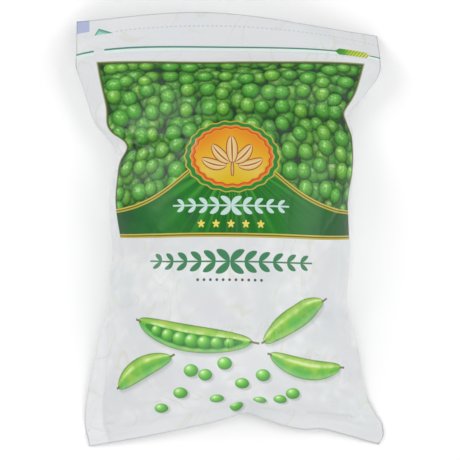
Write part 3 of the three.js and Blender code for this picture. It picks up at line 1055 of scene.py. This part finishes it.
def drawHeader(across, along, colour):
    # the zip's printed line with its end tab, a tear line with its mark, and a plain corner square
    gapLeft, gapRight = header["lineGap"]
    lineAway = abs(along - header["line"])
    line = softStep(lineAway, 0.8, 0.35)
    gap = softStep(across, gapRight + 0.2, gapRight - 0.2) * softStep(across, gapLeft - 0.2, gapLeft + 0.2)
    line = addNode(calc, {0: line, 1: gap}, operation="SUBTRACT", use_clamp=True)
    fringe = softStep(abs(along - header["fringe"]), 1.8, 0.6, 0.6)
    fringe = addNode(calc, {0: fringe, 1: gap}, operation="SUBTRACT", use_clamp=True)
    colour = layOver(colour, "#d6ebe2", fringe)
    colour = layOver(colour, "#3f8270", line)

    middle, reach = header["tab"]
    tabAway = abs(across - middle)
    tabAway = addNode(calc, {0: lineAway, 1: 1.1, 2: tabAway}, operation="MULTIPLY_ADD")
    tab = softStep(tabAway, reach, reach - 0.6) * softStep(lineAway, 3.0, 2.5)
    alongTab = addNode(remap, {0: across, 1: middle - 11.0, 2: middle + 11.0})
    tabColour = addNode(ramp, {0: alongTab}, stops=header["tabColours"])
    slant = addNode(calc, {0: along, 1: -0.6, 2: across}, operation="MULTIPLY_ADD")
    slant = addNode(calc, {0: slant, 1: 1.1}, operation="PINGPONG")
    tabColour = layOver(tabColour, "#3f8a2c", softStep(slant, 0.75, 0.35, 0.7))
    colour = layOver(colour, tabColour, tab)

    tear = header["tear"]
    dots = addNode(calc, {0: across, 1: tear["pitch"] / 2}, operation="PINGPONG")
    bowed = across - tear["middle"]
    bowed = bowed * bowed
    bowed = addNode(calc, {0: bowed, 1: -tear["bow"], 2: tear["along"]}, operation="MULTIPLY_ADD")
    tearMask = softStep(abs(along - bowed), 0.7, 0.25, 0.55) * softStep(dots, 0.5, 0.9)
    tearMask = tearMask * softStep(across, tear["left"] - 1.0, tear["left"] + 1.0)
    colour = layOver(colour, "#a9b4c4", tearMask)

    mark = header["mark"]
    rise = along - mark["foot"]
    feeds = {0: across, 1: mark["peak"], 2: mark["right"], 3: mark["high"], 4: 0.0}
    right = addNode(remap, feeds)
    feeds = {0: across, 1: mark["left"], 2: mark["peak"], 3: 0.0, 4: mark["high"]}
    left = addNode(remap, feeds)
    room = addNode(calc, {0: right, 1: left}, operation="MINIMUM") - rise
    markMask = softStep(room, -0.1, 0.3) * softStep(rise, -0.1, 0.3)
    depth = addNode(remap, {0: room, 1: 0.0, 2: 3.0})
    markColour = addNode(ramp, {0: depth}, stops=header["markColours"])
    colour = layOver(colour, markColour, markMask)

    x, y = header["corner"]
    corner = softStep(across, x + 0.2, x - 0.2) * softStep(along, y - 0.2, y + 0.2)
    return layOver(colour, "#a9b1cf", corner)


garlands = {
    "green": {"along": 133.0, "reach": 62.0, "pitch": 10.4, "leaf": 12.5, "wide": 5.4, "colour": "#3f7f57"},
    "mint": {"along": 171.0, "reach": 43.5, "pitch": 8.7, "leaf": 9.6, "wide": 4.0, "colour": "#bcd6cf"},
    "dots": {"along": 120.5, "reach": 24.4, "apart": 4.6, "radius": 1.0, "colour": "#555b5e"},
}


def drawGarland(across, along, colour, podShape, garland):
    # a stem with a pair of leaves at every step, mirrored about its middle and smaller outwards
    side = abs(across)
    off = abs(along - garland["along"])
    number = addNode(calc, {0: side / garland["pitch"]}, operation="FLOOR")
    inCell = side - number * garland["pitch"]
    shrink = addNode(calc, {0: number, 1: 0.12, 2: 1.0}, operation="MULTIPLY_ADD")
    leafX = inCell * shrink
    leafY = off * shrink
    place = addNode(combine, {0: leafX, 1: leafY})
    length = garland["leaf"]
    sizes = (0.42 * length, 0.33 * length, math.radians(38), length, garland["wide"], 0.8, 0.62)
    feeds = {"Place": place, **dict(zip(podSizes, sizes))}
    leaf = addNode(group, feeds, out=2, node_tree=podShape)
    within = softStep(side, garland["reach"], garland["reach"] - 0.4)
    leaves = softStep(leaf, -0.1, 0.3) * within
    stem = softStep(off, 0.75, 0.4) * within
    mask = addNode(calc, {0: leaves, 1: stem}, operation="MAXIMUM")
    return layOver(colour, garland["colour"], mask)


def drawDots(across, along, colour):
    dots = garlands["dots"]
    off = along - dots["along"]
    beside = addNode(calc, {0: across, 1: dots["apart"] / 2}, operation="PINGPONG")
    away = addNode(combine, {0: beside, 1: off})
    away = addNode(vector, {0: away}, out=1, operation="LENGTH")
    within = softStep(abs(across), dots["reach"] + 0.5, dots["reach"])
    mask = softStep(away, dots["radius"] + 0.2, dots["radius"] - 0.2) * within
    return layOver(colour, dots["colour"], mask)


def crestAt(across):
    return pack["bandShoulder"] + pack["bandCrest"] * math.exp(-((across / pack["bandSpread"]) ** 2))


def drawnIn(along, room, neck):
    # the room inside the field's side, less where the gathered neck shows more of the margin
    for centre, inwards, reach in neck:
        off = along - centre
        off = off * off * (-1 / reach**2)
        bell = addNode(calc, {0: off}, operation="EXPONENT")
        room = addNode(calc, {0: bell, 1: -inwards, 2: room}, operation="MULTIPLY_ADD")
    return room


def drawPeaField(place, across, along, colour, sideRoom):
    # the heap, with a dark line and a gold rim inside the field's edge
    lift = pack["peaFieldCorners"] / 95**2
    feeds = {0: across * across, 1: lift, 2: pack["peaFieldTop"]}
    topSide = addNode(calc, feeds, operation="MULTIPLY_ADD")
    topRoom = topSide - along
    room = addNode(calc, {0: sideRoom, 1: topRoom}, operation="MINIMUM")
    above = softStep(along, pack["bandFoot"] + 1, pack["bandFoot"] + 2)
    field = softStep(room, -0.2, 0.2) * above
    colour = layOver(colour, drawPeaHeap(place), field)
    colour = layOver(colour, "#3c4f2f", field * softStep(room, 3.0, 0.9))
    return layOver(colour, "#8d9150", field * softStep(room, 0.9, 0.6))


def printColour(place, white, panel, motifs):
    # one panel of the front: white film, motifs low down, then the pea field, band, badge and header
    left, right, foot, head = panel
    across, along = addNode(separate, {0: place}, out=(0, 1))
    colour = drawPods(place, white, panel, motifs)
    if foot < garlands["green"]["along"] < head:
        colour = drawDots(across, along, colour)
        colour = drawGarland(across, along, colour, motifs["shape"], garlands["green"])
    if foot > pack["peaFieldTop"]:
        return drawHeader(across, along, colour)
    if head <= pack["bandFoot"]:
        return colour
    inLeft = drawnIn(along, across - pack["peaFieldLeft"], pack["leftNeck"])
    footRight, topRight = pack["peaFieldRight"]
    feeds = {0: along, 1: pack["bandFoot"], 2: pack["peaFieldTop"], 3: footRight, 4: topRight}
    rightSide = addNode(remap, feeds)
    inRight = drawnIn(along, rightSide - across, pack["rightNeck"])
    sideRoom = addNode(calc, {0: inLeft, 1: inRight}, operation="MINIMUM")
    if head > crestAt(max(abs(left), abs(right))):
        colour = drawPeaField(place, across, along, colour, sideRoom)
    if foot < crestAt(0):
        inField = softStep(sideRoom, -0.2, 0.2)
        colour = drawBand(place, across, along, colour, inField, panel)
    if foot < garlands["mint"]["along"] < head and abs(left + right) < 50:
        colour = drawGarland(across, along, colour, motifs["shape"], garlands["mint"])
    if podTouches(panel, badge["across"], badge["along"], 0, 2 * badge["wide"], badge["high"]):
        colour = drawBadge(place, colour, panel, motifs["shape"])
    return colour


filmLook = {
    "overPeas": "#d4d6d8",  # white film with green peas behind it looks greyer
    "empty": "#dfe0e2",
    "pressed": "#e3e5e5",  # painted highlight: lighter where the film bulges over a pea
    "swirl": "#cbcfb9",  # faint lines, where the frost ends
    "swirlScale": 0.016,  # per mm: loops about 60 mm across
    "cloudScale": 0.025,
    "roughness": 0.33,
    "creaseRoughness": 0.12,  # drawn tight over a crinkle, the film shines
    "ior": 1.51,  # polyethylene
    "specular": 0.36,  # a little under its usual 0.5: the frosted film is less clear than new film
    # [scale per mm, height in mm, detail, distortion, squeeze along the bag], laid on in this order
    "bumps": {
        "dents": (0.16, 0.16, 2.0, 0.6, 1.0),  # soft, about 6 mm across
        "crinkles": (0.2, 2.6, 1.0, 1.0, 0.55),  # about 5 mm across, only where the film is crinkled
        "grain": (0.9, 0.025, 3.0, 0.0, 1.0),  # the film's own fine unevenness, about 1 mm
    },
}


def whiteFilm(place):
    # the bare film: whiter where it is empty, with a painted highlight on the tops of the pea bumps, and
    # faint swirls and clouds
    seen = {"tree": place.tree, "out": 2}
    filledHere = addNode("ShaderNodeAttribute", attribute_name="filled", **seen)
    pressed = addNode("ShaderNodeAttribute", attribute_name="pressed", **seen)
    white = layOver(filmLook["empty"], filmLook["overPeas"], filledHere)
    patches = addNode(noise, {"Vector": place, "Scale": 0.03, "Detail": 1.0})
    # painted highlight: the film is lightened on the tops of the pea bumps, broken up by the patches
    white = layOver(white, filmLook["pressed"], pressed * softStep(patches, 0.35, 0.6))
    feeds = {"Vector": place, "Scale": filmLook["swirlScale"], "Detail": 1.5, "Distortion": 1.4}
    swirls = addNode(noise, feeds)
    ring = addNode(calc, {0: swirls, 1: 0.055}, operation="PINGPONG")
    ring = softStep(ring, 0.014, 0.0) * softStep(patches, 0.4, 0.6, 0.45)
    white = layOver(white, filmLook["swirl"], ring)
    feeds = {"Vector": place, "Scale": filmLook["cloudScale"], "Detail": 3.0}
    cloud = addNode(noise, feeds, out=1)
    return layOver(white, cloud, 0.06, "OVERLAY")


def filmMaterial(name, panel=None, motifs=None):
    # White polyethylene film, blown and then printed by flexography: it gives the eye a satin gloss
    # with soft broken highlights, milky white where it is empty and greyer where peas press on it.
    material = bpy.data.materials.new(name)
    material.use_nodes = True
    tree = material.node_tree
    shader = tree.nodes["Principled BSDF"]
    shader.inputs["IOR"].default_value = filmLook["ior"]
    shader.inputs["Specular IOR Level"].default_value = filmLook["specular"]
    flat = addNode("ShaderNodeUVMap", tree=tree, uv_map="filmPlace")
    place = addNode(vector, {0: flat, "Scale": 1 / mm}, operation="SCALE")
    colour = whiteFilm(place)
    if panel:
        colour = printColour(place, colour, panel, motifs)
    colour.to(shader.inputs["Base Color"])
    smear = addNode(noise, {"Vector": place, "Scale": 0.06, "Detail": 4.0})
    usual = filmLook["roughness"]
    rough = addNode(remap, {0: smear, 1: 0.3, 2: 0.7, 3: usual - 0.05, 4: usual + 0.07})
    crinkled = addNode("ShaderNodeAttribute", out=2, tree=tree, attribute_name="crinkled")
    feeds = {0: crinkled, 2: rough, 3: filmLook["creaseRoughness"]}
    addNode(mix, feeds).to(shader.inputs["Roughness"])
    normal = {}
    for kind, (scale, high, detail, twist, squeeze) in filmLook["bumps"].items():
        where = place * (1.0, squeeze, 1.0) if squeeze < 1 else place
        feeds = {"Vector": where, "Scale": scale, "Detail": detail, "Distortion": twist}
        height = addNode(noise, feeds)
        if kind == "crinkles":
            height = height * crinkled
        feeds = {"Strength": 1.0, "Distance": high * mm, "Height": height, **normal}
        normal = {"Normal": addNode("ShaderNodeBump", feeds)}
    normal["Normal"].to(shader.inputs["Normal"])
    return material


def dressFilm():
    # one material for each panel of the print, and a plain one for the back
    podShape = podShapeGroup()
    motifs = {"shape": podShape, "pea": drawnPeaGroup(), "pod": drawnPodGroup(podShape)}
    centres = cornerPlaces()[0].mean(1)
    isFront = np.arange(len(centres)) < len(centres) // 2
    numbers = np.zeros(len(centres), np.int32)
    film.data.materials.append(filmMaterial("plainPolyethylene"))
    for number, (name, panel) in enumerate(pack["panels"].items(), 1):
        left, right, foot, head = panel
        film.data.materials.append(filmMaterial("printedPolyethylene_" + name, panel, motifs))
        within = (centres[:, 0] >= left) & (centres[:, 0] <= right)
        within &= (centres[:, 1] >= foot) & (centres[:, 1] <= head)
        numbers[isFront & within] = number
    film.data.polygons.foreach_set("material_index", numbers)


dressFilm()
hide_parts("bag")
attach(film, "root")
print("film printed:", round(time.time() - started, 1), "s")


studio = {
    "floor": "#fdfdfd",
    "floorSize": 6.0,  # m
    "world": 0.5,
    # [x, y, z, size, power] in m and W
    "lights": [
        (-1.4, 0.95, 1.02, 1.4, 16.8), (1.4, 0.35, 1.1, 1.3, 10.5), (0.1, -1.6, 1.1, 1.3, 12.0),
        # small ones, for glints on the crinkles
        (0.75, 1.25, 1.2, 0.16, 1.1), (-0.9, -1.15, 1.2, 0.16, 1.1), (1.2, -0.8, 1.2, 0.16, 1.1),
    ],
    "cameraHeight": 3.2,  # m, straight above the bag
    "viewWide": 0.3268,  # m of the bag's middle height that the picture's width shows
    "viewHeight": 0.028,
    "sensor": 36.0,
}


def buildStudio():
    # a matt white painted board, large soft lights round it, and white all about
    floor = newSquare("floor", studio["floorSize"] / 2)
    paint = bpy.data.materials.new("mattWhitePaint")
    paint.use_nodes = True
    shader = paint.node_tree.nodes["Principled BSDF"]
    shader.inputs["Base Color"].default_value = fromHex(studio["floor"])
    shader.inputs["Roughness"].default_value = 0.8
    shader.inputs["Specular IOR Level"].default_value = 0.1
    floor.data.materials.append(paint)
    world = bpy.data.worlds.new("studioWhite")
    world.use_nodes = True
    sky = world.node_tree.nodes["Background"]
    sky.inputs[0].default_value = (1.0, 1.0, 1.0, 1.0)
    sky.inputs[1].default_value = studio["world"]
    bpy.context.scene.world = world
    for number, (x, y, z, size, power) in enumerate(studio["lights"]):
        lamp = bpy.data.lights.new(f"softbox{number}", "AREA")
        lamp.size = size
        lamp.energy = power
        holder = bpy.data.objects.new(lamp.name, lamp)
        holder.location = (x, y, z)
        towards = -Vector((x, y, z))
        holder.rotation_euler = towards.to_track_quat("-Z", "Y").to_euler()
        holder.visible_camera = False
        bpy.context.scene.collection.objects.link(holder)


def buildCamera():
    lens = bpy.data.cameras.new("camera")
    lens.sensor_width = studio["sensor"]
    away = studio["cameraHeight"] - studio["viewHeight"]
    lens.lens = studio["sensor"] * away / studio["viewWide"]
    camera = bpy.data.objects.new("camera", lens)
    camera.location = (0, 0, studio["cameraHeight"])
    bpy.context.scene.collection.objects.link(camera)
    bpy.context.scene.camera = camera


buildStudio()
buildCamera()
bpy.context.scene.view_settings.view_transform = "Standard"
print("studio built:", round(time.time() - started, 1), "s")
